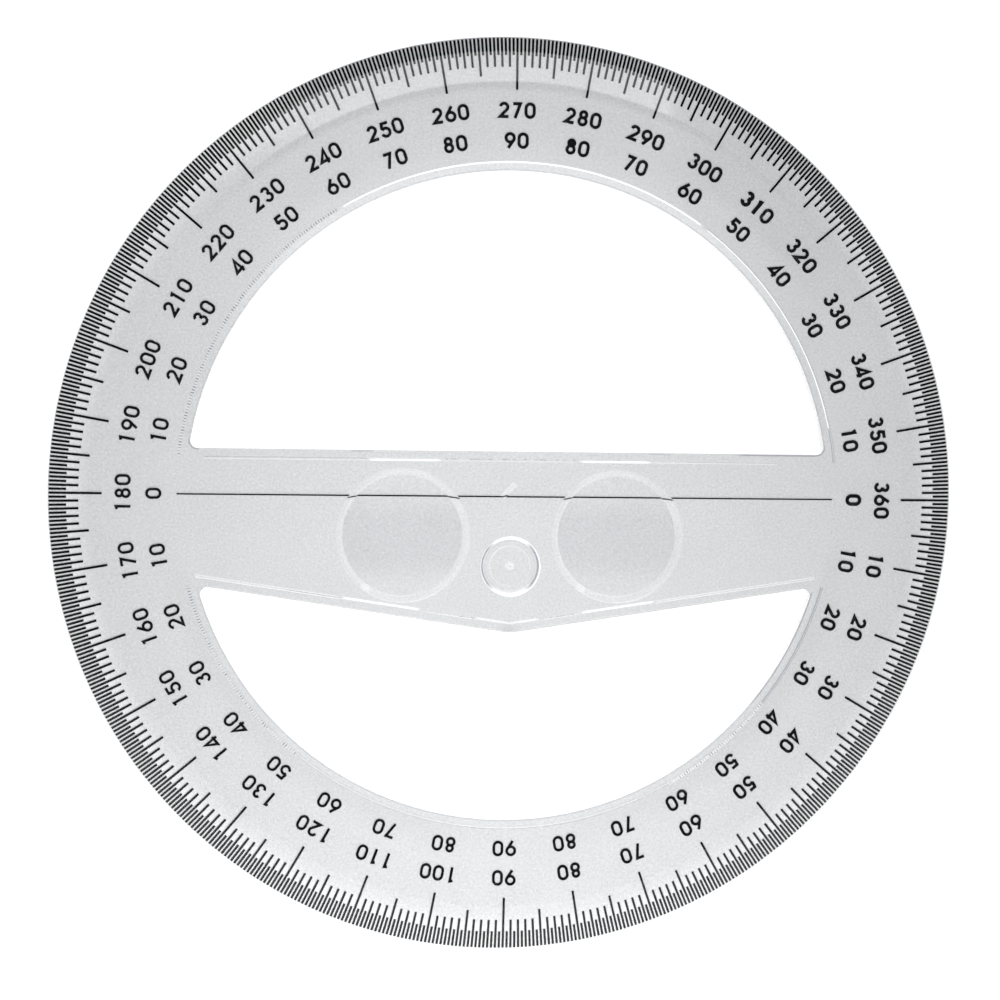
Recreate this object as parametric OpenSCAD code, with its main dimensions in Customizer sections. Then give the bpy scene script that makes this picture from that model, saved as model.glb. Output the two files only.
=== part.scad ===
// Circular protractor: a clear moulded disc with two cut-outs, a carrying bar and a half-degree scale.
// The disc lies flat. Its underside is the plane z = 0 and its centre is the centre of the scale.
// The scale and the base line are stamped into the underside, so they lie on the work and show no parallax.

/* [Disc] */
// Outside diameter of the disc
outer_d = 150; // [148:0.5:158]
// Thickness of the flat part of the disc
plate_t = 2; // [1.6:0.1:3]
// Width of the bevel that thins the rim, measured along the radius
bevel_w = 7.4; // [4:0.2:8]
// Thickness left at the edge
rim_t = 0.4; // [0.3:0.05:0.8]
// Width over which the bevel rolls down to the edge
roll_w = 2.4; // [0.8:0.1:3.4]
// How far that roll drops the edge below the line of the bevel
roll_drop = 0.25; // [0.1:0.05:0.4]
// Width over which the upper face rounds down to the bevel
ease_w = 2.6; // [0.5:0.1:4]
// Radius of that rounding
ease_r = 37; // [25:1:80]

/* [Cut-outs] */
// Width of the ring from the cut-outs to the rim
ring_w = 21.8; // [21:0.2:23]
// Radius of the four rounded corners
corner_r = 1.2; // [0.6:0.1:2.5]

/* [Carrying bar] */
// Distance from the base line up to the bar's straight upper edge
bar_rise = 7.5; // [7:0.1:9]
// Distance from the centre down to where the bar's two lower edges would meet
bar_drop = 22.3; // [21.8:0.1:26]
// Slope of the lower edges, in degrees
bar_slope = 8.5; // [7:0.1:9]
// Radius that blunts the bar's lower point
tip_r = 8; // [2:0.5:15]

/* [Ridges] */
// Width of the fine ridge that follows each edge of the cut-outs
ridge_w = 0.5; // [0.4:0.05:0.8]
// Height of the ridges above the disc
ridge_h = 0.2; // [0.1:0.02:0.2]
// Distance from an edge of a cut-out to the middle of its ridge
ridge_inset = 1.5; // [1:0.1:1.8]
// Distance from the base line to the ends of the upper curved ridge
upper_ridge_end = 6.2; // [5.5:0.1:8]
// Distance from the base line to the ends of the lower curved ridge
lower_ridge_end = 14.7; // [14:0.1:17]
// Length of the bar's upper ridge on the left of the centre
top_ridge_left = 50.2; // [40:0.2:51]
// Length of the bar's upper ridge on the right of the centre
top_ridge_right = 44.5; // [40:0.2:51]
// Length of each sloping ridge along the bar's lower edge
slope_ridge = 52; // [45:0.2:53]

/* [Finger recesses] */
// Diameter of a recess at the disc's upper face
recess_d = 22.1; // [20:0.1:22.4]
// Depth of the floor
recess_depth = 1.1; // [0.6:0.05:1.2]
// Width of the sloping wall around the floor
recess_wall_w = 1.2; // [0.8:0.05:1.6]
// Radius of the wall's hollow curve
recess_wall_r = 4.7; // [2:0.1:8]
// Distance of each recess to the left or right of the centre
recess_x = 17.8; // [16.8:0.1:19]
// Distance of both recesses below the base line
recess_drop = 6.4; // [5.8:0.1:6.6]

/* [Gate well] */
// Diameter of the well in which the moulding gate was broken off
well_d = 9.9; // [9:0.1:10.6]
// Depth of the well
well_depth = 0.9; // [0.5:0.05:1.1]
// Width of the sloping wall around its floor
well_wall_w = 0.6; // [0.4:0.05:0.8]
// Radius of the wall's hollow curve
well_wall_r = 0.95; // [0.85:0.05:3]
// Distance of the well below the base line
well_drop = 11.4; // [10.5:0.1:12.5]
// Diameter of the low step in the well's floor
step_d = 6.8; // [4:0.1:7]
// Height of that step
step_h = 0.15; // [0.05:0.01:0.2]
// Diameter of the gate's stub
stub_d = 1.5; // [1:0.1:2.5]
// Height of the stub above the step
stub_h = 0.3; // [0.1:0.05:0.3]

/* [Centre nick] */
// Width of the shallow nick beside the centre
nick_w = 0.9; // [0.5:0.05:1.2]
// Depth of the nick
nick_depth = 0.12; // [0.05:0.01:0.2]
// Length of the nick
nick_l = 3; // [2:0.1:3.4]
// Distance from the centre to the nick's start on the base line
nick_start = 1.5; // [1.2:0.1:2]
// Angle of the nick above the base line, in degrees
nick_angle = 46; // [30:1:60]

/* [Scale] */
// Width of each mark
mark_w = 0.38; // [0.2:0.02:0.4]
// Width of the base line
base_line_w = 0.22; // [0.15:0.01:0.4]
// Depth to which the marks are stamped, which is the thickness of their ink
ink_t = 0.05; // [0.03:0.01:0.1]
// Distance from the rim to the outer ends of the marks
mark_gap = 0.2; // [0.1:0.05:0.6]
// Length of the marks at the half degrees
half_mark = 2.8; // [2:0.1:3.4]
// Length of the marks at the degrees
degree_mark = 4.75; // [3.6:0.05:5.4]
// Length of the marks at every fifth degree
five_mark = 6.25; // [5.6:0.05:7]
// Length of the marks at every tenth degree
ten_mark = 8.4; // [7.2:0.1:9]
// Length of the base line to each side of the centre
base_line_half = 54.5; // [50:0.5:56]

/* [Hidden] */

$fn = 96;
cut_past = 1; // how far a cutting shape runs past the face that it cuts
steps_per_degree = 2;
steps = 360 * steps_per_degree;

outer_r = outer_d / 2;
cutout_r = outer_r - ring_w;
mark_end_r = outer_r - mark_gap;
bevel_start = outer_r - bevel_w;
ease_start = bevel_start - ease_w;
ease_drop = ease_r - sqrt(pow(ease_r, 2) - pow(ease_w, 2));
bevel_angle = atan((plate_t - ease_drop - rim_t - roll_drop) / bevel_w);
slope_distance = bar_drop * cos(bar_slope); // from the centre, square to a lower edge of the bar
ridge_arc_r = cutout_r + ridge_inset;

// Radius of a round ridge or groove that is w wide and h high
function arc_radius(w, h) = (w * w / 4 + h * h) / (2 * h);
ridge_r = arc_radius(ridge_w, ridge_h);
nick_r = arc_radius(nick_w, nick_depth);

// Segment of a circle of radius r above the chord at height y, with its two corners rounded
module rounded_segment(r, y, corner) {
  corner_y = y + corner;
  corner_x = sqrt(pow(r - corner, 2) - pow(corner_y, 2));
  reach = 2 * r;
  intersection() {
    circle(r);
    polygon([
      [-corner_x, corner_y],
      [corner_x, corner_y],
      [corner_x, corner_y] * reach / r,
      [corner_x, reach],
      [-corner_x, reach],
      [-corner_x, corner_y] * reach / r
    ]);
  }
  translate([-corner_x, y])
    square([2 * corner_x, corner]);
  for (side = [-1, 1])
    translate([side * corner_x, corner_y])
      circle(corner);
}

// Half of the lower cut-out, on the right: a segment turned to the slope of the bar's edge
module lower_half_cutout() {
  intersection() {
    rotate(180 + bar_slope)
      rounded_segment(cutout_r, slope_distance, corner_r);
    translate([0, -outer_r])
      square(outer_r);
  }
}

// What is taken off the sharp point of the bar to leave it blunt
module tip_relief() {
  half_w = tip_r * sin(bar_slope);
  arc_y = -bar_drop + tip_r / cos(bar_slope);
  difference() {
    polygon([
      [0, -bar_drop],
      [half_w, -bar_drop + half_w * tan(bar_slope)],
      [-half_w, -bar_drop + half_w * tan(bar_slope)]
    ]);
    translate([0, arc_y])
      circle(tip_r);
  }
}

// Both openings between the ring and the bar, drawn flat
module cutouts() {
  rounded_segment(cutout_r, bar_rise, corner_r);
  lower_half_cutout();
  mirror([1, 0])
    lower_half_cutout();
  tip_relief();
}

// What the rounding takes off the upper face just inside the bevel, as a section
module ease_section() {
  difference() {
    translate([ease_start, plate_t - ease_drop])
      square([ease_w, ease_drop + cut_past]);
    translate([ease_start, plate_t - ease_r])
      circle(ease_r);
  }
}

// What the roll takes off the outer stretch of the bevel, as a section. Its arc leaves the line of
// the bevel smoothly and ends at the edge.
module roll_section() {
  roll_start_z = rim_t + roll_drop + roll_w * tan(bevel_angle);
  below_line = roll_drop * cos(bevel_angle);
  along_line = roll_w / cos(bevel_angle) + roll_drop * sin(bevel_angle);
  roll_r = (pow(along_line, 2) + pow(below_line, 2)) / (2 * below_line);
  difference() {
    translate([outer_r - roll_w, 0])
      square([roll_w + cut_past, plate_t]);
    translate([outer_r - roll_w - roll_r * sin(bevel_angle), roll_start_z - roll_r * cos(bevel_angle)])
      circle(roll_r);
  }
}

// Disc with its bevelled rim, before anything is cut out of it
module blank() {
  rotate_extrude()
    difference() {
      polygon([
        [0, 0],
        [outer_r, 0],
        [outer_r, rim_t + roll_drop],
        [bevel_start, plate_t - ease_drop],
        [bevel_start, plate_t],
        [0, plate_t]
      ]);
      ease_section();
      roll_section();
    }
}

// Places a ridge's round section on the disc's upper face
module at_ridge_height() {
  translate([0, 0, plate_t + ridge_h - ridge_r])
    children();
}

// Curved ridge from one angle to another, counted from the right
module arc_ridge(from, to) {
  rotate([0, 0, from])
    at_ridge_height()
      rotate_extrude(angle = to - from)
        translate([ridge_arc_r, 0])
          circle(ridge_r);
}

// Straight ridge along X, with its middle line at height y and its ends at x1 and x2
module straight_ridge(x1, x2, y) {
  translate([x1, y, 0])
    at_ridge_height()
      rotate([0, 90, 0])
        cylinder(r = ridge_r, h = x2 - x1);
}

// All ridges: two curved ones on the ring, and one straight and two sloping ones on the bar
module ridges() {
  upper_angle = asin(upper_ridge_end / ridge_arc_r);
  lower_angle = asin(lower_ridge_end / ridge_arc_r);
  slope_y = slope_distance - ridge_inset;
  slope_start = slope_y * tan(bar_slope);
  arc_ridge(upper_angle, 180 - upper_angle);
  arc_ridge(180 + lower_angle, 360 - lower_angle);
  straight_ridge(-top_ridge_left, top_ridge_right, bar_rise - ridge_inset);
  rotate([0, 0, bar_slope])
    straight_ridge(-slope_start, slope_ridge - slope_start, -slope_y);
  rotate([0, 0, -bar_slope])
    straight_ridge(slope_start - slope_ridge, slope_start, -slope_y);
}

// Round pocket in the upper face, with a hollow wall that climbs from its flat floor to its mouth
module pocket(mouth_d, depth, wall_w, wall_r) {
  floor_r = mouth_d / 2 - wall_w;
  chord = sqrt(pow(wall_w, 2) + pow(depth, 2));
  inset = sqrt(pow(wall_r, 2) - pow(chord / 2, 2)); // from the middle of the wall to its centre of curvature
  translate([0, 0, plate_t - depth])
    rotate_extrude() {
      square([floor_r, depth + cut_past]);
      intersection() {
        translate([floor_r + wall_w / 2 - depth / chord * inset, depth / 2 + wall_w / chord * inset])
          circle(wall_r);
        square([mouth_d / 2, depth]);
      }
    }
}

// Recess for a fingertip
module finger_recess() {
  pocket(recess_d, recess_depth, recess_wall_w, recess_wall_r);
}

// Well around the broken-off moulding gate
module gate_well() {
  difference() {
    pocket(well_d, well_depth, well_wall_w, well_wall_r);
    translate([0, 0, plate_t - well_depth]) {
      cylinder(d = step_d, h = step_h);
      cylinder(d = stub_d, h = step_h + stub_h);
    }
  }
}

// Shallow round-bottomed nick that starts left of the centre and rises to the right
module centre_nick() {
  translate([-nick_start, 0, plate_t - nick_depth + nick_r])
    rotate([0, 90, nick_angle])
      cylinder(r = nick_r, h = nick_l);
}

// Bar of ink along the radius at the given angle, from the outer end inwards
module mark(angle, length) {
  rotate([0, 0, angle])
    translate([mark_end_r - length, -mark_w / 2, 0])
      cube([length, mark_w, ink_t]);
}

// Marks at every step that is a multiple of one number of steps and of none of the coarser ones
module marks(every, coarser, length) {
  for (i = [0 : every : steps - 1])
    if (coarser == 0 || i % coarser != 0)
      mark(i / steps_per_degree, length);
}

module half_degree_marks() {
  color("black")
    marks(1, steps_per_degree, half_mark);
}

module degree_marks() {
  color("black")
    marks(steps_per_degree, 5 * steps_per_degree, degree_mark);
}

module five_degree_marks() {
  color("black")
    marks(5 * steps_per_degree, 10 * steps_per_degree, five_mark);
}

module ten_degree_marks() {
  color("black")
    marks(10 * steps_per_degree, 0, ten_mark);
}

module base_line() {
  color("black")
    translate([-base_line_half, -base_line_w / 2, 0])
      cube([2 * base_line_half, base_line_w, ink_t]);
}

module protractor_body() {
  color([0.85, 0.88, 0.9, 0.5])
    difference() {
      union() {
        blank();
        ridges();
      }
      translate([0, 0, -cut_past])
        linear_extrude(plate_t + 2 * cut_past)
          cutouts();
      for (side = [-1, 1])
        translate([side * recess_x, -recess_drop, 0])
          finger_recess();
      translate([0, -well_drop, 0])
        gate_well();
      centre_nick();
      half_degree_marks();
      degree_marks();
      five_degree_marks();
      ten_degree_marks();
      base_line();
    }
}

protractor_body();
half_degree_marks();
degree_marks();
five_degree_marks();
ten_degree_marks();
base_line();
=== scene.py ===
# %% [markdown]
# A clear full-circle protractor lies on a white sheet and is seen almost from straight above.
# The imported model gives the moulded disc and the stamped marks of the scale. This script adds what
# makes them look real: the camera, the light, clear plastic, black foil ink, and the numerals.
# Everything is in metres, and the disc's underside lies on the plane z = 0.

from math import cos, pi, radians, sin, sqrt

import bmesh
import bpy
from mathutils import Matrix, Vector


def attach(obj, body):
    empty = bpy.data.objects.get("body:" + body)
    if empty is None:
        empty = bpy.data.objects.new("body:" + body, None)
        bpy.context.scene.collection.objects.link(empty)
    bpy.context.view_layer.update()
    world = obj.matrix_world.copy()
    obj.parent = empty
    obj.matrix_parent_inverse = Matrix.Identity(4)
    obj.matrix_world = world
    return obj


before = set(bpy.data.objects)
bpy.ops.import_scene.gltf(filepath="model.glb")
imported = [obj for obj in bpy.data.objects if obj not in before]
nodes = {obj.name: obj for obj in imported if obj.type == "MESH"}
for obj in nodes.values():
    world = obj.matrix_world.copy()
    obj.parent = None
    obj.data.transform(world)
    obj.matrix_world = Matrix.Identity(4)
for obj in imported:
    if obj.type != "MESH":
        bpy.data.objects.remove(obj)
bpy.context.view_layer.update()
MM = 0.001
print("pieces in the frame:", sorted(nodes))

# %% [markdown]
# The camera. The photograph was taken with the camera nearly above the disc but a little to its
# left, so the right side lies farther away and looks smaller. The place and the tilt were found
# from the marks of the scale: their true angles are known, and only one camera sees them where the
# photograph has them. A long lens keeps the perspective as mild as it is there.

# %% The camera
camera_data = bpy.data.cameras.new("camera")
camera_data.sensor_width = 36
camera_data.lens = 97.93
camera_data.clip_start = 0.01
camera = bpy.data.objects.new("camera", camera_data)
camera.location = (-0.07148, 0.02146, 0.4411)
camera.rotation_euler = [radians(a) for a in (-2.973, -8.952, 0.947)]
bpy.context.collection.objects.link(camera)
bpy.context.scene.camera = camera
print("camera is", round(camera.location.length, 3), "m from the centre of the disc")

# %% [markdown]
# Helpers for node materials. A material is a small program of boxes and links. Building each box
# with one call keeps the recipes below short enough to read.


# %% Helpers for nodes
def add(tree, kind, **values):
    """A node of that kind. A value goes to the input of that name, or else to the node's own setting."""
    node = tree.nodes.new("ShaderNode" + kind)
    for name, value in values.items():
        if hasattr(node, name):
            setattr(node, name, value)
        else:
            node.inputs[name.replace("_", " ")].default_value = value
    return node


def link(tree, output, to):
    tree.links.new(output, to)


def math(tree, operation, *values):
    """The output of a Math node. Each value is a number or the output of another node."""
    node = add(tree, "Math", operation=operation)
    for slot, value in zip(node.inputs, values):
        if isinstance(value, (int, float)):
            slot.default_value = value
        else:
            link(tree, value, slot)
    return node.outputs[0]


def ramp(tree, value, starts_at, full_at):
    """An output that goes smoothly from 0 where the value is starts_at to 1 where it is full_at."""
    node = add(tree, "MapRange", interpolation_type="SMOOTHSTEP", From_Min=starts_at, From_Max=full_at)
    link(tree, value, node.inputs["Value"])
    return node.outputs["Result"]


def empty_material(name):
    material = bpy.data.materials.new(name)
    material.use_nodes = True
    material.node_tree.nodes.clear()
    return material, material.node_tree


# %% [markdown]
# The sheet that the protractor lies on. The photograph's background is pure white, also through
# the two cut-outs. The sheet is an ordinary matt white that keeps the soft shadow of the disc, and
# it also shows some light of its own to reflections and to rays that come through clear plastic.
# To the camera itself it shows mostly its own light and little of the lamps', so that it is barely
# white and not overexposed: edges against an overexposed sheet would look jagged. It lies a hair
# below the disc, so that the two faces don't fight for the same place.

# %% The sheet
SHEET_WHITE = 0.8
SHEET_WHITE_SEEN = 0.16
SHEET_GLOW = 0.38
SHEET_GLOW_SEEN = 0.91
SHEET_SIZE = 4
SHEET_GAP = 0.1 * MM
sheet_white, tree = empty_material("sheet_white")
paper = add(tree, "BsdfDiffuse")
glow = add(tree, "Emission")
rays = add(tree, "LightPath").outputs
seen = rays["Is Camera Ray"]
through = math(tree, "MAXIMUM", rays["Is Transmission Ray"], rays["Is Glossy Ray"])
both = add(tree, "AddShader")
out = add(tree, "OutputMaterial")
white = math(tree, "MULTIPLY_ADD", seen, SHEET_WHITE_SEEN - SHEET_WHITE, SHEET_WHITE)
link(tree, white, paper.inputs["Color"])
own_light = math(tree, "MULTIPLY", through, SHEET_GLOW)
own_light = math(tree, "MULTIPLY_ADD", seen, SHEET_GLOW_SEEN, own_light)
link(tree, own_light, glow.inputs["Strength"])
link(tree, paper.outputs[0], both.inputs[0])
link(tree, glow.outputs[0], both.inputs[1])
link(tree, both.outputs[0], out.inputs["Surface"])

sheet_mesh = bmesh.new()
bmesh.ops.create_grid(sheet_mesh, size=SHEET_SIZE / 2)
sheet_data = bpy.data.meshes.new("sheet")
sheet_mesh.to_mesh(sheet_data)
sheet_mesh.free()
sheet = bpy.data.objects.new("sheet", sheet_data)
sheet.location.z = -SHEET_GAP
sheet.data.materials.append(sheet_white)
bpy.context.collection.objects.link(sheet)
print("the sheet lies", SHEET_GAP / MM, "mm below the disc")

# %% [markdown]
# The light. Clear plastic has almost no look of its own: it shows what is behind it and what it
# mirrors. Small things like this are often photographed in a tent of white cloth, through a hole in
# its roof. The flat faces then mirror the dark hole, which keeps the print black, and the bevel of
# the rim looks out at the cloth and turns pale. The world below is such a tent. A direction is told
# by its slopes, which are how far it goes to the right and up the picture for each metre of height.
# A mirror image on the flat plate has slopes near (0.15, -0.05), and the bevel adds 0.32 outwards.
# Near the sheet the tent is bright all around, but only for what mirrors it or looks through at it.
# The view from above hardly meets that foot, and in low views it keeps clear plastic from going dark.

# %% The tent
TENT_DIM = 0.15
TENT_BRIGHT = 1.3
TENT_FADE = (0.1, 0.55)
HOLE_LIGHT = 0.2
HOLE_CENTRE = (0.15, -0.05)
HOLE_EDGE = (0.05, 0.38)
STRIP_LIGHT = 2.4
STRIP_LEFT = (-0.2, -0.02)
STRIP_RIGHT = (0.395, 0.375)
STRIP_LOW = (0.31, 0.33)
STRIP_HIGH = (0.52, 0.48)
LOWEST_HEIGHT = 0.02
FOOT_LIGHT = 0.85
FOOT_HEIGHT = (0.45, 0.2)

world = bpy.data.worlds.new("studio")
bpy.context.scene.world = world
world.use_nodes = True
tree = world.node_tree
tree.nodes.clear()
direction = add(tree, "TexCoord").outputs["Generated"]
parts = add(tree, "SeparateXYZ")
link(tree, direction, parts.inputs[0])
height = math(tree, "MAXIMUM", parts.outputs["Z"], LOWEST_HEIGHT)
slope_x = math(tree, "DIVIDE", parts.outputs["X"], height)
slope_y = math(tree, "DIVIDE", parts.outputs["Y"], height)

downwards = math(tree, "MULTIPLY", parts.outputs["Y"], -1.0)
cloth = ramp(tree, downwards, *TENT_FADE)
cloth = math(tree, "MULTIPLY_ADD", cloth, TENT_BRIGHT - TENT_DIM, TENT_DIM)

from_hole_x = math(tree, "SUBTRACT", slope_x, HOLE_CENTRE[0])
from_hole_y = math(tree, "SUBTRACT", slope_y, HOLE_CENTRE[1])
squares = math(tree, "MULTIPLY", from_hole_x, from_hole_x)
squares = math(tree, "MULTIPLY_ADD", from_hole_y, from_hole_y, squares)
past_hole = ramp(tree, math(tree, "SQRT", squares), *HOLE_EDGE)
walls = add(tree, "Mix")
link(tree, past_hole, walls.inputs["Factor"])
walls.inputs["A"].default_value = HOLE_LIGHT
link(tree, cloth, walls.inputs["B"])

strip = math(tree, "MULTIPLY", ramp(tree, slope_x, *STRIP_LEFT), ramp(tree, slope_x, *STRIP_RIGHT))
strip = math(tree, "MULTIPLY", strip, ramp(tree, slope_y, *STRIP_LOW))
strip = math(tree, "MULTIPLY", strip, ramp(tree, slope_y, *STRIP_HIGH))
tent_light = math(tree, "MULTIPLY_ADD", strip, STRIP_LIGHT, walls.outputs["Result"])

rays = add(tree, "LightPath").outputs
mirrored = math(tree, "MAXIMUM", rays["Is Transmission Ray"], rays["Is Glossy Ray"])
bright_foot = math(tree, "MULTIPLY", ramp(tree, parts.outputs["Z"], *FOOT_HEIGHT), mirrored)
bright_foot = math(tree, "MULTIPLY", bright_foot, FOOT_LIGHT)
tent_light = math(tree, "MAXIMUM", tent_light, bright_foot)

tent = add(tree, "Background", Color=(1, 1, 1, 1))
link(tree, tent_light, tent.inputs["Strength"])
white = add(tree, "Background", Color=(1, 1, 1, 1), Strength=1.0)
pick = add(tree, "MixShader")
out = add(tree, "OutputWorld")
link(tree, rays["Is Camera Ray"], pick.inputs[0])
link(tree, tent.outputs[0], pick.inputs[1])
link(tree, white.outputs[0], pick.inputs[2])
link(tree, pick.outputs[0], out.inputs["Surface"])
print("brightness of the cloth:", TENT_DIM, "to", TENT_BRIGHT, "and", FOOT_LIGHT, "at its foot")

# %% [markdown]
# The photograph is brightest along the lower rim, bright at the bar, and fades towards the upper
# right. A lamp far away can't do this: only a near one fades over the width of the disc. The main
# lamp hangs inside the tent, low over the disc, and a second one hangs a little beyond the lower rim.
# Both panels are wide, so that shadows stay soft. Neither is mirrored in the plastic, as in a real
# tent, where a veil of cloth hides the lamps themselves.


# %% The lamps
def near_lamp(name, place, size, sheet_tone):
    """A square panel that faces down. A white sheet right under it gets sheet_tone, where 1 is white."""
    panel = bpy.data.lights.new(name, "AREA")
    panel.size = size
    panel.energy = sheet_tone * 4 * pi * place[2] ** 2
    lamp = bpy.data.objects.new(name, panel)
    lamp.location = place
    lamp.visible_camera = False
    lamp.visible_glossy = False
    lamp.visible_transmission = False
    bpy.context.collection.objects.link(lamp)
    print(name, "lamp of", round(panel.energy, 2), "W hangs", place[2], "m over the sheet")


near_lamp("main", place=(-0.008, 0.026, 0.1), size=0.1, sheet_tone=0.8)
near_lamp("lower", place=(-0.005, -0.11, 0.118), size=0.1, sheet_tone=1.48)
bpy.context.scene.view_settings.view_transform = "Standard"

# %% [markdown]
# Effects that both finishes share. Moulded plastic and stamped foil both have a fine grain, a little
# dust and hairlines from use. Each effect is a node group: it is built once, has named inputs, and
# every material places it with its own values. The groups work in millimetres on the part itself,
# so the grain stays where it is when the part or the camera moves.


# %% Helpers for node groups
def new_group(name, inputs, output):
    """A node group with number inputs and one number output: its tree, its inputs and its output."""
    group = bpy.data.node_groups.new(name, "ShaderNodeTree")
    for label, value in inputs.items():
        socket = group.interface.new_socket(label, in_out="INPUT", socket_type="NodeSocketFloat")
        socket.default_value = value
    group.interface.new_socket(output, in_out="OUTPUT", socket_type="NodeSocketFloat")
    return group, group.nodes.new("NodeGroupInput").outputs, group.nodes.new("NodeGroupOutput").inputs


def millimetres(tree):
    """The point on the part, in millimetres."""
    scaled = add(tree, "VectorMath", operation="SCALE", Scale=1 / MM)
    link(tree, add(tree, "TexCoord").outputs["Object"], scaled.inputs[0])
    return scaled.outputs[0]


def noise(tree, size, detail):
    """Soft random patches. Their size in millimetres is a number or the output of a node."""
    patches = add(tree, "TexNoise", Detail=detail)
    link(tree, millimetres(tree), patches.inputs["Vector"])
    link(tree, math(tree, "DIVIDE", 1, size), patches.inputs["Scale"])
    return patches.outputs[0]


def place_group(tree, group, **values):
    """The output of a group that is placed in a material with these values."""
    return add(tree, "Group", node_tree=group, **values).outputs[0]


# %% Fine grain
CLOUD_SIZE = 9
CLOUD_SHARE = 0.12
fine_grain, given, result = new_group("fine_grain", {"Grain Size": 0.2, "Contrast": 0.1}, "Tone")
grains = math(fine_grain, "SUBTRACT", noise(fine_grain, given["Grain Size"], 2), 0.5)
cloudy = math(fine_grain, "SUBTRACT", noise(fine_grain, CLOUD_SIZE, 2), 0.5)
uneven = math(fine_grain, "MULTIPLY_ADD", cloudy, CLOUD_SHARE, grains)
link(fine_grain, math(fine_grain, "MULTIPLY_ADD", uneven, given["Contrast"], 1), result[0])

# %% Dust specks
speck_inputs = {"Spacing": 3, "Radius": 0.08, "Share": 0.2}
dust_specks, given, result = new_group("dust_specks", speck_inputs, "Speck")
cells = add(dust_specks, "TexVoronoi")
link(dust_specks, millimetres(dust_specks), cells.inputs["Vector"])
link(dust_specks, math(dust_specks, "DIVIDE", 1, given["Spacing"]), cells.inputs["Scale"])
distance = math(dust_specks, "MULTIPLY", cells.outputs["Distance"], given["Spacing"])
inside = math(dust_specks, "LESS_THAN", distance, given["Radius"])
luck = add(dust_specks, "SeparateColor")
link(dust_specks, cells.outputs["Color"], luck.inputs[0])
chosen = math(dust_specks, "LESS_THAN", luck.outputs["Red"], given["Share"])
link(dust_specks, math(dust_specks, "MULTIPLY", inside, chosen), result[0])

# %% Hairlines
hairline_inputs = {"Turn": 0.5, "Length": 12, "Width": 0.05, "Share": 0.3}
hairlines, given, result = new_group("hairlines", hairline_inputs, "Line")
turned = add(hairlines, "VectorRotate", rotation_type="Z_AXIS")
link(hairlines, millimetres(hairlines), turned.inputs["Vector"])
link(hairlines, given["Turn"], turned.inputs["Angle"])
spread = add(hairlines, "CombineXYZ")
link(hairlines, math(hairlines, "DIVIDE", 1, given["Length"]), spread.inputs["X"])
link(hairlines, math(hairlines, "DIVIDE", 0.2, given["Width"]), spread.inputs["Y"])
stretched = add(hairlines, "VectorMath", operation="MULTIPLY")
link(hairlines, turned.outputs[0], stretched.inputs[0])
link(hairlines, spread.outputs[0], stretched.inputs[1])
streaks = add(hairlines, "TexNoise", Scale=1, Detail=0)
link(hairlines, stretched.outputs[0], streaks.inputs["Vector"])
lowest = math(hairlines, "SUBTRACT", 0.85, math(hairlines, "MULTIPLY", given["Share"], 0.3))
link(hairlines, math(hairlines, "GREATER_THAN", streaks.outputs[0], lowest), result[0])
print("node groups:", [group.name for group in bpy.data.node_groups])

# %% [markdown]
# Where the plastic changes. The mould was polished on its flat faces, and left duller where a tool
# could hardly reach: on the walls of the finger recesses and the gate well, in the nick and on the
# fine ridges. Those places are rougher. How the light falls on them is painted into the tint: painted
# light makes them paler, painted highlights make crests white, and painted shade darkens lines and
# patches of the ring. Masks find such places from their position in millimetres, because a position
# holds in every view. They could also be painted on the mesh, but that would need far more points.
# Each mask goes into the list of the pale places or of the dark ones. Where all_of ends with a
# number, that is the strength of the mask, and each was set by the tone that the photograph shows.


# %% Helpers for masks
def distance_from(tree, x, y, place):
    """How far each point is from a place on the disc."""
    dx = math(tree, "SUBTRACT", x, place[0])
    dy = math(tree, "SUBTRACT", y, place[1])
    return math(tree, "SQRT", math(tree, "MULTIPLY_ADD", dx, dx, math(tree, "MULTIPLY", dy, dy)))


def band(tree, value, low, high, soft):
    """1 where the value lies between low and high. It fades to 0 over the soft width outside."""
    return math(tree, "MULTIPLY", ramp(tree, value, low - soft, low), ramp(tree, value, high + soft, high))


def any_of(tree, *masks):
    """A mask that is as strong as the strongest of the given ones."""
    total = masks[0]
    for mask in masks[1:]:
        total = math(tree, "MAXIMUM", total, mask)
    return total


def all_of(tree, *masks):
    """A mask that is the product of the given ones, which may be numbers."""
    total = masks[0]
    for mask in masks[1:]:
        total = math(tree, "MULTIPLY", total, mask)
    return total


def opposite(tree, mask):
    return math(tree, "SUBTRACT", 1, mask)


def blend_colour(tree, under, over, mask):
    """The colour under, and the colour over where the mask is 1. A colour is a value or an output."""
    node = add(tree, "Mix", data_type="RGBA")
    link(tree, mask, node.inputs["Factor"])
    for slot, colour in ((node.inputs[6], under), (node.inputs[7], over)):
        if isinstance(colour, tuple):
            slot.default_value = colour
        else:
            link(tree, colour, slot)
    return node.outputs[2]


# %% The material of the disc, and where a point of it lies
PLATE_TOP = 2
clear_plastic, tree = empty_material("clear_plastic")
point = add(tree, "SeparateXYZ")
link(tree, millimetres(tree), point.inputs[0])
x, y, z = point.outputs
from_centre = distance_from(tree, x, y, (0, 0))
bearing = math(tree, "DEGREES", math(tree, "ARCTAN2", y, x))
facing = add(tree, "SeparateXYZ")
link(tree, add(tree, "NewGeometry").outputs["Normal"], facing.inputs[0])
upper_faces = ramp(tree, z, 0.2, 0.3)
upright = ramp(tree, math(tree, "ABSOLUTE", facing.outputs["Z"]), 0.3, 0.2)
# pale gathers the masks of painted light, dark those of painted shade.
pale = []
dark = []
print("clear_plastic so far has", len(tree.nodes), "nodes")
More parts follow.
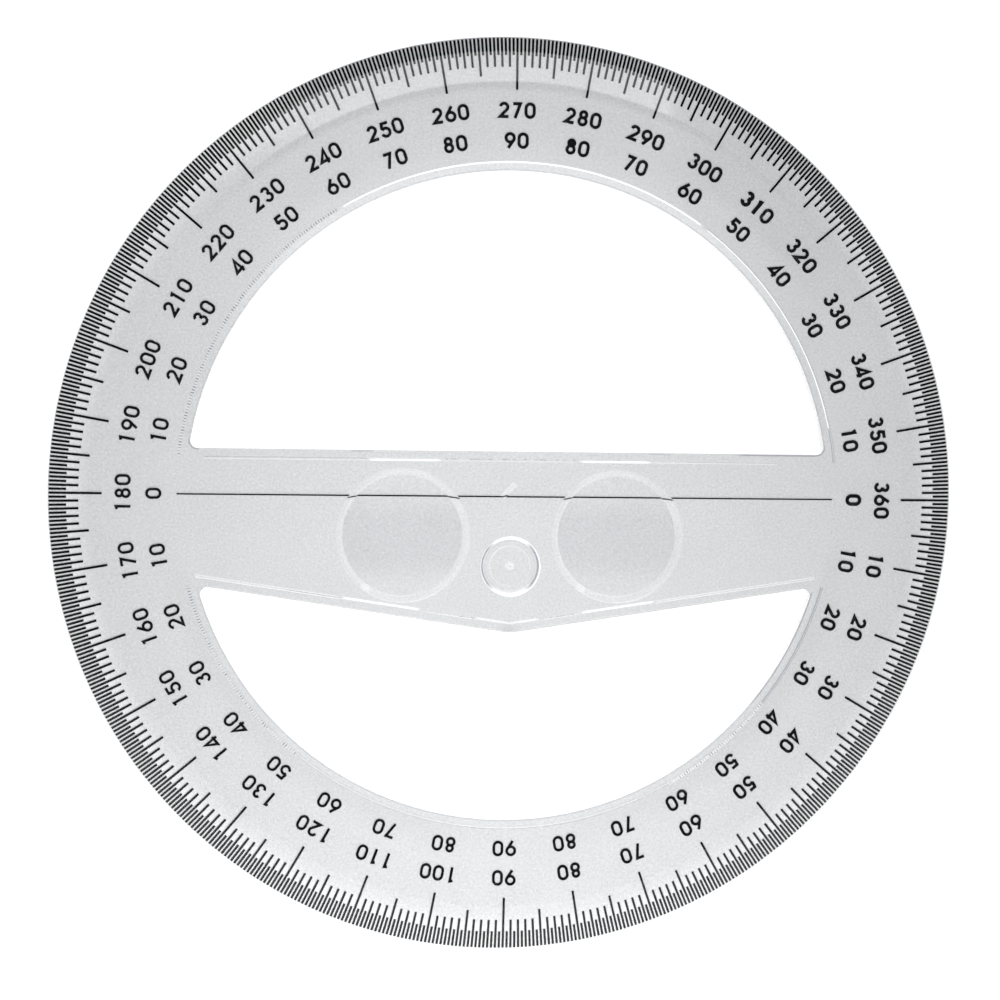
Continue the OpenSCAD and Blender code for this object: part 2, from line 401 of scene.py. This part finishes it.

# %% [markdown]
# The two finger recesses. Their walls climb in a hollow curve, and painted light shows them as even
# pale rings with crisp rims. Low on each ring the light comes straight through, so there only the two
# rims get painted light, and a painted white glint ends that stretch on the left. Painted shade lays
# a darker belt across the floors. The photograph also shows a darker belt across the floors, which
# are perhaps the least bit hollow.

# %% Masks of the finger recesses
RECESS_PLACE = (17.8, -6.4)
RECESS_FLOOR = 9.85
RECESS_MOUTH = 11.05
RECESS_RIM_LIGHT = 0.3
WALL_LIGHT_LOW = 0.12
WALL_LIGHT_HIGH = 0.03
GLINT_PLACE = (-6, -8.6)
GLINT_TONE = 0.4
SHADE_BELT = (-9.5, -4.5)
SHADE_BELT_SOFT = 6
SHADE_BELT_TONE = 0.24
from_recess = distance_from(tree, math(tree, "ABSOLUTE", x), y, RECESS_PLACE)
recess_wall = band(tree, from_recess, RECESS_FLOOR + 0.1, RECESS_MOUTH - 0.1, 0.12)
wall_rims = any_of(
    tree,
    band(tree, from_recess, RECESS_FLOOR + 0.05, RECESS_FLOOR + 0.2, 0.08),
    band(tree, from_recess, RECESS_MOUTH - 0.2, RECESS_MOUTH - 0.05, 0.08),
)
foot = ramp(tree, math(tree, "SUBTRACT", y, RECESS_PLACE[1]), -8.2, -10)
clear_foot = all_of(tree, foot, opposite(tree, wall_rims), 0.75)
wall_light = ramp(tree, y, -4, 2)
wall_light = math(tree, "MULTIPLY_ADD", wall_light, WALL_LIGHT_HIGH - WALL_LIGHT_LOW, WALL_LIGHT_LOW)
# Painted light on each wall. Low on each ring, only its two rims get it.
pale.append(all_of(tree, recess_wall, opposite(tree, clear_foot), wall_light))
pale.append(all_of(tree, wall_rims, foot, RECESS_RIM_LIGHT))
# A painted glint on the left of each wall.
for side in (-1, 1):
    glint = (side * RECESS_PLACE[0] + GLINT_PLACE[0], RECESS_PLACE[1] + GLINT_PLACE[1])
    near_glint = ramp(tree, distance_from(tree, x, y, glint), 1.2, 0.5)
    pale.append(all_of(tree, recess_wall, near_glint, GLINT_TONE))
# Painted shade: a darker belt across each floor.
recess_floor = ramp(tree, from_recess, RECESS_FLOOR, RECESS_FLOOR - 0.06)
dark.append(all_of(tree, recess_floor, band(tree, y, *SHADE_BELT, SHADE_BELT_SOFT), SHADE_BELT_TONE))
print("recess masks:", len(pale), "pale and", len(dark), "dark")

# %% [markdown]
# The gate well, where the plastic came into the mould. Its wall is steep, and its light is painted:
# painted highlights above and below, and left and right painted shade, where the wall would bend the
# view aside, with a painted white line outside. Thin painted pale and dark rings follow the floor and
# its step. The sprue stub in the middle was cut off and is matt. Painted light makes it pale, and it
# is darker at its very centre.

# %% Masks of the gate well
WELL_PLACE = (0, -11.4)
WELL_FLOOR = 4.35
WELL_MOUTH = 4.95
STEP_RADIUS = 3.4
STUB_RADIUS = 0.75
from_well = distance_from(tree, x, y, WELL_PLACE)
above_well = math(tree, "SUBTRACT", y, WELL_PLACE[1])
crescents = ramp(tree, math(tree, "ABSOLUTE", above_well), 2.6, 4.2)
sides = opposite(tree, crescents)
wall_foot = band(tree, from_well, WELL_FLOOR - 0.1, WELL_FLOOR, 0.5)
# Painted highlights and painted shade on the wall, the floor, the step and the stub.
pale.append(all_of(tree, band(tree, from_well, WELL_FLOOR + 0.1, WELL_MOUTH - 0.05, 0.06), crescents))
pale.append(all_of(tree, wall_foot, ramp(tree, above_well, -2.4, -4), 0.5))
pale.append(all_of(tree, band(tree, from_well, WELL_MOUTH - 0.1, WELL_MOUTH, 0.06), sides, 0.9))
pale.append(all_of(tree, band(tree, from_well, STEP_RADIUS - 0.1, STEP_RADIUS, 0.06), 0.35))
pale.append(all_of(tree, ramp(tree, from_well, STUB_RADIUS, STUB_RADIUS - 0.2), 0.6))
pale.append(all_of(tree, ramp(tree, from_well, WELL_FLOOR, WELL_FLOOR - 0.3), 0.05))
dark.append(all_of(tree, band(tree, from_well, WELL_MOUTH - 0.4, WELL_MOUTH - 0.2, 0.08), sides, 0.95))
dark.append(all_of(tree, band(tree, from_well, WELL_FLOOR - 0.25, WELL_FLOOR - 0.15, 0.1), 0.12))
dark.append(all_of(tree, ramp(tree, from_well, 0.2, 0.08), 0.5))
print("with the gate well:", len(pale), "pale and", len(dark), "dark masks")

# %% [markdown]
# The nick is a short slanted groove in the middle of the bar. Like the recess walls it is dull, and
# painted light makes it paler.

# %% Mask of the nick
NICK_START = (-1.5, 0)
NICK_LENGTH = 3
NICK_HALF_WIDTH = 0.45
NICK_ANGLE = radians(46)
NICK_LIGHT = 0.28
past = math(tree, "SUBTRACT", x, NICK_START[0])
along = math(tree, "MULTIPLY_ADD", y, sin(NICK_ANGLE), math(tree, "MULTIPLY", past, cos(NICK_ANGLE)))
across = math(tree, "MULTIPLY_ADD", y, cos(NICK_ANGLE), math(tree, "MULTIPLY", past, -sin(NICK_ANGLE)))
nick_length = band(tree, along, 0, NICK_LENGTH, 0.1)
nick_width = band(tree, across, -NICK_HALF_WIDTH, NICK_HALF_WIDTH, 0.08)
# Painted light on the nick.
pale.append(all_of(tree, nick_length, nick_width, NICK_LIGHT))
print("with the nick:", len(pale), "pale masks")

# %% [markdown]
# The fine ridges. Each is half a millimetre wide, so its light shows as a few thin lines, all of them
# painted here: one for the flank that looks away from the bar or the ring, one for the crest and one
# for the inner flank. Each is a painted highlight or a painted shade, and which changes along the
# ridge, as the light does. The list below goes through the stretches: from and to are millimetres
# along X on the bar and degrees on the ring. Some stretches on the ring carry a painted reflection of
# the half-degree marks of the scale: dark rungs with paler gaps, which look like a ladder.

# %% Masks of the ridges
RIDGE_CIRCLE = 54.7
LADDER_STEP = 0.5
STRETCH_SOFT = 1
ridges = ramp(tree, z, PLATE_TOP + 0.02, PLATE_TOP + 0.06)
on_ring = ramp(tree, from_centre, RIDGE_CIRCLE - 0.6, RIDGE_CIRCLE - 0.5)
on_bar = opposite(tree, on_ring)
on_top_edge = all_of(tree, on_bar, ramp(tree, y, -0.5, 0.5))
on_slope = all_of(tree, on_bar, ramp(tree, y, 0.5, -0.5))
facing_x = facing.outputs["X"]
facing_y = facing.outputs["Y"]
outwards = math(tree, "MULTIPLY_ADD", facing_y, y, math(tree, "MULTIPLY", facing_x, x))
outwards = all_of(tree, math(tree, "DIVIDE", outwards, from_centre), on_ring)
side_of_bar = math(tree, "SUBTRACT", on_top_edge, on_slope)
outwards = math(tree, "MULTIPLY_ADD", facing_y, side_of_bar, outwards)
outer_flank = ramp(tree, outwards, 0.2, 0.4)
inner_flank = ramp(tree, outwards, -0.2, -0.4)
crest = opposite(tree, any_of(tree, outer_flank, inner_flank))
both_flanks = any_of(tree, outer_flank, inner_flank)
inner_part = opposite(tree, outer_flank)
rungs = ramp(tree, math(tree, "SINE", math(tree, "MULTIPLY", bearing, 2 * pi / LADDER_STEP)), -0.1, 0.4)
gaps = opposite(tree, rungs)
dashes = ramp(tree, noise(tree, 1.1, 1), 0.48, 0.54)

# Each row: where, along what, from, to, which part, painted light (pale) or painted shade (dark), and
# strength.
for place, position, start, end, part, tone, strength in (
    (on_top_edge, x, -50, -24.5, outer_flank, dark, 0.5),
    (on_top_edge, x, -50, -24.5, inner_flank, pale, 0.35),
    (on_top_edge, x, -23, -12.5, inner_part, pale, 0.95),
    (on_top_edge, x, -11, 10, all_of(tree, outer_flank, dashes), dark, 0.6),
    (on_top_edge, x, -11, 10, inner_flank, pale, 0.2),
    (on_top_edge, x, 12, 22.5, inner_part, pale, 0.95),
    (on_top_edge, x, 24, 45, inner_flank, pale, 0.35),
    (on_top_edge, x, 30, 45, crest, dark, 0.3),
    (on_slope, x, -52, -29, outer_flank, pale, 0.8),
    (on_slope, x, -52, -29, inner_flank, pale, 0.6),
    (on_slope, x, -36, -29, crest, dark, 0.5),
    (on_slope, x, -27, -15.5, inner_part, pale, 0.95),
    (on_slope, x, -14, -6.5, outer_flank, pale, 0.4),
    (on_slope, x, -14, -6.5, all_of(tree, crest, dashes), dark, 0.7),
    (on_slope, x, -5, 4, inner_part, pale, 0.8),
    (on_slope, x, 5.5, 11, outer_flank, pale, 0.4),
    (on_slope, x, 5.5, 11, all_of(tree, crest, dashes), dark, 0.5),
    (on_slope, x, 12.5, 23.5, inner_part, pale, 0.95),
    (on_slope, x, 25, 52, outer_flank, pale, 0.65),
    (on_slope, x, 25, 52, inner_flank, pale, 0.6),
    (on_ring, bearing, 56, 121, inner_part, pale, 0.95),
    (on_ring, bearing, 56, 121, all_of(tree, outer_flank, rungs), dark, 0.3),
    (on_ring, bearing, 13, 54, inner_flank, pale, 0.95),
    (on_ring, bearing, 13, 54, all_of(tree, opposite(tree, inner_flank), rungs), dark, 0.6),
    (on_ring, bearing, 4, 12, both_flanks, dark, 0.6),
    (on_ring, bearing, 123, 181, rungs, dark, 0.5),
    (on_ring, bearing, 123, 181, all_of(tree, rungs, dashes), dark, 1),
    (on_ring, bearing, 123, 181, gaps, pale, 0.3),
    (on_ring, bearing, -181, -156, rungs, dark, 0.7),
    (on_ring, bearing, -155, -130, rungs, dark, 0.35),
    (on_ring, bearing, -181, -130, all_of(tree, rungs, dashes), dark, 1),
    (on_ring, bearing, -181, -130, gaps, pale, 0.3),
    (on_ring, bearing, -129, -60, crest, dark, 0.45),
    (on_ring, bearing, -129, -60, inner_flank, pale, 0.3),
    (on_ring, bearing, -129, -60, all_of(tree, outer_flank, dashes), dark, 0.3),
    (on_ring, bearing, -60, -39, all_of(tree, rungs, dashes), dark, 0.8),
    (on_ring, bearing, -60, -39, gaps, pale, 0.6),
    (on_ring, bearing, -38, -15, all_of(tree, crest, rungs), dark, 0.6),
    (on_ring, bearing, -38, -15, both_flanks, dark, 0.8),
):
    stretch = band(tree, position, start, end, STRETCH_SOFT)
    tone.append(all_of(tree, ridges, place, stretch, part, strength))
print("with the ridges:", len(pale), "pale and", len(dark), "dark masks")

# %% [markdown]
# The rim. The disc is ground down to a thin edge there, and painted light makes the gaps between the
# marks the palest part of the ring. Only at the top, where nothing bright stands behind the rim, it
# gets painted shade instead.

# %% Masks of the rim
THIN_FROM = 68
THIN_TO = 73
RIM_PAINTED_LIGHT = 0.8
RIM_PAINTED_SHADE = 0.3
thin_rim = ramp(tree, from_centre, THIN_FROM, THIN_TO)
top_of_rim = band(tree, bearing, 55, 112, 18)
# Painted light on the thin rim, and painted shade at its top.
pale.append(all_of(tree, thin_rim, opposite(tree, top_of_rim), RIM_PAINTED_LIGHT))
dark.append(all_of(tree, ramp(tree, from_centre, 72.4, THIN_TO), top_of_rim, RIM_PAINTED_SHADE))
print("the rim is pale from", THIN_FROM, "to", THIN_TO, "mm")

# %% [markdown]
# The ring. Its flat top rounds over softly before the bevel starts, and the upper part gets a
# painted shade there, beside the bright strip, that fades inwards. Along the inner edge the tone
# changes too: painted light above, and painted shade lower left and right. Perhaps the plastic
# shrank a little as it cooled and isn't quite flat there. The walls of the two cut-outs are matt,
# and painted nearly white with a painted glow that stands for the sheet's light.

# %% Masks of the ring and the cut-outs
INNER_EDGE = (53.2, 54.35)
CUT_OUTS_END = 60
# Painted shade beside the bright strip, and lower on the ring at about 50 degrees.
beside_strip = all_of(tree, ramp(tree, from_centre, 65.7, 67.1), ramp(tree, from_centre, 68, 67.6))
dark.append(all_of(tree, beside_strip, band(tree, bearing, 50, 120, 25), 0.24))
shaded = all_of(tree, ramp(tree, from_centre, 58, 61), band(tree, bearing, 42, 56, 14))
dark.append(all_of(tree, shaded, 0.17))
# Painted light along the inner edge above, and painted shade lower left and right.
inner_edge = all_of(tree, band(tree, from_centre, *INNER_EDGE, 0.1), band(tree, bearing, 55, 125, 35))
pale.append(all_of(tree, inner_edge, 0.65))
inner_band = all_of(tree, ramp(tree, from_centre, 60, 55), on_ring)
pale.append(all_of(tree, inner_band, band(tree, bearing, 72, 125, 25), 0.15))
dark.append(all_of(tree, inner_band, band(tree, bearing, -150, -110, 25), 0.14))
dark.append(all_of(tree, inner_band, band(tree, bearing, -65, -25, 25), 0.14))
matt_walls = all_of(tree, upright, ramp(tree, from_centre, CUT_OUTS_END, CUT_OUTS_END - 1))
print("with the ring:", len(pale), "pale and", len(dark), "dark masks")

# %% [markdown]
# The edges of the cut-outs. A moulded edge is never quite sharp: its tiny rounding would bend the
# view aside and show as a thin dark line, which is painted shade here. It is strongest around the
# corners of the upper cut-out and low on the right, and comes and goes along the bar.

# %% Masks of the painted edge lines
CUT_OUT_RADIUS = 53.2
BAR_TOP = 7.5
CORNER_RADIUS = 1.2
corner_y = BAR_TOP + CORNER_RADIUS
corner_x = sqrt((CUT_OUT_RADIUS - CORNER_RADIUS) ** 2 - corner_y ** 2)
sideways = math(tree, "ABSOLUTE", x)
from_corner = distance_from(tree, sideways, y, (corner_x, corner_y))
corner_edge = band(tree, from_corner, CORNER_RADIUS + 0.08, CORNER_RADIUS + 0.24, 0.08)
round_corner = all_of(
    tree,
    ramp(tree, sideways, corner_x - 0.4, corner_x),
    ramp(tree, y, corner_y + 0.6, corner_y),
)
# Painted shade along the edges.
dark.append(all_of(tree, corner_edge, round_corner, 0.8))
bar_edge = all_of(tree, band(tree, y, BAR_TOP - 0.3, BAR_TOP - 0.12, 0.08), ramp(tree, sideways, 51.5, 51))
dark.append(all_of(tree, bar_edge, band(tree, x, 39, 52, 2), 0.8))
dark.append(all_of(tree, bar_edge, band(tree, sideways, 23.5, 26, 1), 0.4))
ring_edge = band(tree, from_centre, CUT_OUT_RADIUS + 0.08, CUT_OUT_RADIUS + 0.22, 0.08)
beyond_bar = any_of(tree, ramp(tree, y, 8, 9), ramp(tree, y, -15, -16))
dark.append(all_of(tree, ring_edge, beyond_bar, 0.3))
dark.append(all_of(tree, ring_edge, beyond_bar, band(tree, bearing, -38, -16, 4), 0.75))
print("in all", len(pale), "pale and", len(dark), "dark masks")

# %% [markdown]
# The plastic itself is a glass shader: light bends at each face and takes up the tint on its way in
# and out. Light that only passes through to reach the sheet goes straight, through a transparent
# shader, because glass would keep the sheet below in a hard dark shadow and fill it with noise.
# The pale masks turn the tint white, as painted light, and where they are strongest the plastic has
# a painted glow of its own, which stands for light that a clear plate carries sideways and lets out
# where a face is matt. The dark masks blend in painted shade, in the same dark colour as the dust.

# %% Clear plastic
TINT = (0.572, 0.573, 0.572, 1)
PAINTED_LIGHT_WHITE = (1, 1, 1, 1)
SHADE_AND_DUST = (0.14, 0.15, 0.19, 1)
SHADOW_TINT = (0.83, 0.84, 0.85, 1)
PAINTED_GLOW_FROM = (0.82, 0.95)
PAINTED_GLOW_LIGHT = 0.3
WALLS_PAINTED_WHITE = 0.925
DUST_DARK = 0.5
POLISHED = 0.03
PALE_DULLER = 0.15
WALLS_DULLER = 0.45
SCRATCHES_DULLER = 0.1
# The walls of the cut-outs are painted white and glow.
painted_white_walls = all_of(tree, matt_walls, WALLS_PAINTED_WHITE)
paler = any_of(tree, all_of(tree, any_of(tree, *pale), upper_faces), painted_white_walls)
darker = all_of(tree, any_of(tree, *dark), upper_faces)
dust = place_group(tree, dust_specks, Spacing=5, Radius=0.1, Share=0.12)
# Painted light where the pale masks are. Painted shade where the dark ones are, in the colour of the real
# dust.
colour = blend_colour(tree, TINT, PAINTED_LIGHT_WHITE, paler)
colour = blend_colour(tree, colour, SHADE_AND_DUST, any_of(tree, darker, all_of(tree, dust, DUST_DARK)))
toned = add(tree, "VectorMath", operation="SCALE")
link(tree, colour, toned.inputs[0])
link(tree, place_group(tree, fine_grain, Grain_Size=0.34, Contrast=0.5), toned.inputs["Scale"])
scratches = any_of(
    tree,
    place_group(tree, hairlines, Turn=0.5, Length=14, Width=0.05, Share=0.3),
    place_group(tree, hairlines, Turn=1.9, Length=9, Width=0.04, Share=0.25),
)
relief = add(tree, "Bump", Strength=0.25, Distance=0.02 * MM, invert=True)
link(tree, scratches, relief.inputs["Height"])
glass = add(tree, "BsdfPrincipled", IOR=1.49)
glass.inputs["Transmission Weight"].default_value = 1
# A painted glow, though the plastic is no lamp.
glass.inputs["Emission Strength"].default_value = PAINTED_GLOW_LIGHT
link(tree, ramp(tree, paler, *PAINTED_GLOW_FROM), glass.inputs["Emission Color"])
link(tree, toned.outputs[0], glass.inputs["Base Color"])
dull = math(tree, "MULTIPLY_ADD", paler, PALE_DULLER, POLISHED)
dull = math(tree, "MULTIPLY_ADD", matt_walls, WALLS_DULLER, dull)
dull = math(tree, "MULTIPLY_ADD", scratches, SCRATCHES_DULLER, dull)
link(tree, dull, glass.inputs["Roughness"])
link(tree, relief.outputs[0], glass.inputs["Normal"])
lets_light_in = add(tree, "BsdfTransparent", Color=SHADOW_TINT)
rays = add(tree, "LightPath").outputs
pick = add(tree, "MixShader")
out = add(tree, "OutputMaterial")
link(tree, math(tree, "MAXIMUM", rays["Is Shadow Ray"], rays["Is Diffuse Ray"]), pick.inputs[0])
link(tree, glass.outputs[0], pick.inputs[1])
link(tree, lets_light_in.outputs[0], pick.inputs[2])
link(tree, pick.outputs[0], out.inputs["Surface"])
print("clear_plastic has", len(tree.nodes), "nodes")

# %% [markdown]
# The ink is black foil that was stamped on the underside. It has no shine of its own, because it is
# only seen through the plastic. Where the foil didn't take, there are pinholes, and here and there
# it is a little thin and grey.

# %% Black ink
INK_BLACK = (0.002, 0.002, 0.003, 1)
INK_GREY = (0.02, 0.018, 0.022, 1)
INK_DULL = 0.6
black_ink, tree = empty_material("black_ink")
ink = add(tree, "BsdfPrincipled")
ink.inputs["Specular IOR Level"].default_value = 0
out = add(tree, "OutputMaterial")
thin_foil = ramp(tree, noise(tree, 1.1, 3), 0.5, 0.7)
link(tree, blend_colour(tree, INK_BLACK, INK_GREY, thin_foil), ink.inputs["Base Color"])
pinholes = place_group(tree, dust_specks, Spacing=1.6, Radius=0.07, Share=0.1)
link(tree, opposite(tree, pinholes), ink.inputs["Alpha"])
uneven_ink = place_group(tree, fine_grain, Contrast=0.2)
link(tree, math(tree, "MULTIPLY", uneven_ink, INK_DULL), ink.inputs["Roughness"])
link(tree, ink.outputs[0], out.inputs["Surface"])

for name, thing in nodes.items():
    material = clear_plastic if name == "protractor_body" else black_ink
    for slot in thing.material_slots:
        slot.material = material
print("materials on", len(nodes), "pieces")

# %% [markdown]
# The numerals. They are stamped with the same foil as the scale. A font would bring its own shapes,
# so each digit is drawn from a few strokes and arcs, as an engraver cuts them with one round tool:
# that gives the even stroke and the plain round shapes of the real ones. The labels stand on two
# circles with their tops outwards. A raised band along each stroke is enough, as foil has no depth.
# The stamp pressed harder on one side, so strokes are wider around 330 degrees of the dial. A few
# digits took even more ink, and the upper bowl of one 8 is filled with it.

# %% The digits as strokes
ARC_STEP = 12


def arc(x, y, radius, start, end):
    """Points along part of a circle, from one angle to another in degrees."""
    count = max(2, round(abs(end - start) / ARC_STEP))
    return [
        (x + radius * cos(radians(start + (end - start) * i / count)),
         y + radius * sin(radians(start + (end - start) * i / count)))
        for i in range(count + 1)
    ]


def strokes_of(digit):
    """The strokes of a digit as paths in millimetres around 0, 0, and whether each path is closed."""
    if digit == "0":
        return [(arc(0, 0.4, 0.68, 0, 180) + arc(0, -0.4, 0.68, 180, 360), True)]
    if digit == "1":
        return [([(-0.44, 0.92), (0.02, 1.06), (0.02, -1.28)], False)]
    if digit == "2":
        return [(arc(0, 0.47, 0.6, 170, -35) + [(-0.62, -1.07), (0.75, -1.07)], False)]
    if digit == "3":
        return [
            (arc(0, 0.56, 0.5, 160, -90), False),
            (arc(0, -0.48, 0.59, 90, -170), False),
        ]
    if digit == "4":
        return [([(0.45, -1.28), (0.45, 1.0), (-0.68, -0.72), (0.85, -0.72)], False)]
    if digit == "5":
        return [
            ([(0.68, 1.06), (-0.36, 1.06), (-0.52, 0.1)], False),
            (arc(0, -0.42, 0.66, 140, -165), False),
        ]
    if digit == "6":
        return [(arc(0, -0.4, 0.68, 0, 360), True), ([(-0.6, -0.1), (0.3, 1.25)], False)]
    if digit == "7":
        return [([(-0.66, 1.06), (0.52, 1.06), (-0.33, -1.28)], False)]
    if digit == "8":
        return [(arc(0, 0.56, 0.5, 0, 360), True), (arc(0, -0.5, 0.59, 0, 360), True)]
    return [(arc(0, 0.4, 0.68, 0, 360), True), ([(0.6, 0.1), (-0.3, -1.25)], False)]


print("strokes of each digit:", {digit: len(strokes_of(digit)) for digit in "0123456789"})

# %% A band of ink along a stroke
INK_LOW = 0.003
INK_HIGH = 0.05
TINY = 1e-6
SHARPEST = 0.4


def add_band(mesh, path, closed, width, place):
    """Adds a flat band of ink along a path; place turns a point of the path into a point of the disc."""
    rims = []
    count = len(path)
    for i, (x, y) in enumerate(path):
        before = path[i - 1] if i or closed else path[i]
        after = path[(i + 1) % count] if i + 1 < count or closed else path[i]
        way_in = Vector((x - before[0], y - before[1]))
        way_out = Vector((after[0] - x, after[1] - y))
        way_in = way_in.normalized() if way_in.length > TINY else way_out.normalized()
        way_out = way_out.normalized() if way_out.length > TINY else way_in
        middle = (way_in + way_out).normalized()
        reach = width / 2 / max(SHARPEST, middle.dot(way_in))
        side = Vector((-middle.y, middle.x)) * reach
        rims.append([
            mesh.verts.new(place(x + s * side.x, y + s * side.y, z))
            for s, z in ((1, INK_LOW), (-1, INK_LOW), (-1, INK_HIGH), (1, INK_HIGH))
        ])
    pairs = list(zip(rims, rims[1:] + rims[:1])) if closed else list(zip(rims, rims[1:]))
    for a, b in pairs:
        for k in range(4):
            mesh.faces.new((a[k], a[(k + 1) % 4], b[(k + 1) % 4], b[k]))
    if not closed:
        mesh.faces.new(rims[0][::-1])
        mesh.faces.new(rims[-1])


# %% The two rows of numerals
OUTER_ROW = 63.1
INNER_ROW = 58.2
STROKE = 0.485
DIGIT_PITCH = 2.15
DIGIT_NUDGE = 0.05
HEAVIEST_AT = 330
HEAVIER_BY = 0.12
BLOTTED = {
    ("outer_numerals", 310, 0): 1.18,
    ("outer_numerals", 310, 1): 1.2,
    ("inner_numerals", 360, 0): 1.12,
}
FILLED_BOWL = ("inner_numerals", 280, 0)


def numeral_row(name, radius, labels):
    """One object with all labels of a row. Labels stand on the circle with their tops outwards."""
    mesh = bmesh.new()
    for dial_angle, text in labels:
        turn = radians(-dial_angle)
        out_x, out_y = cos(turn), sin(turn)
        pressure = 1 + HEAVIER_BY * cos(radians(dial_angle - HEAVIEST_AT))
        for i, digit in enumerate(text):
            width = STROKE * pressure * BLOTTED.get((name, dial_angle, i), 1)
            shift = (i - (len(text) - 1) / 2) * DIGIT_PITCH + DIGIT_NUDGE

            def place(x, y, z):
                along = x + shift
                up = radius + y
                return (
                    (out_x * up + out_y * along) * MM,
                    (out_y * up - out_x * along) * MM,
                    z * MM,
                )

            strokes = strokes_of(digit)
            if (name, dial_angle, i) == FILLED_BOWL:
                strokes.append((arc(0, 0.56, 0.24, 0, 360), True))
            for path, closed in strokes:
                add_band(mesh, path, closed, width, place)
    bmesh.ops.recalc_face_normals(mesh, faces=mesh.faces)
    data = bpy.data.meshes.new(name)
    mesh.to_mesh(data)
    mesh.free()
    thing = bpy.data.objects.new(name, data)
    thing.data.materials.append(black_ink)
    bpy.context.collection.objects.link(thing)
    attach(thing, "root")
    print(name, "has", len(labels), "labels and", len(data.polygons), "faces")
    return thing


outer = [(a, str(a)) for a in range(10, 361, 10)]
inner = [(a, str(min(a % 180, 180 - a % 180))) for a in range(10, 361, 10)]
numeral_row("outer_numerals", OUTER_ROW, outer)
numeral_row("inner_numerals", INNER_ROW, inner)
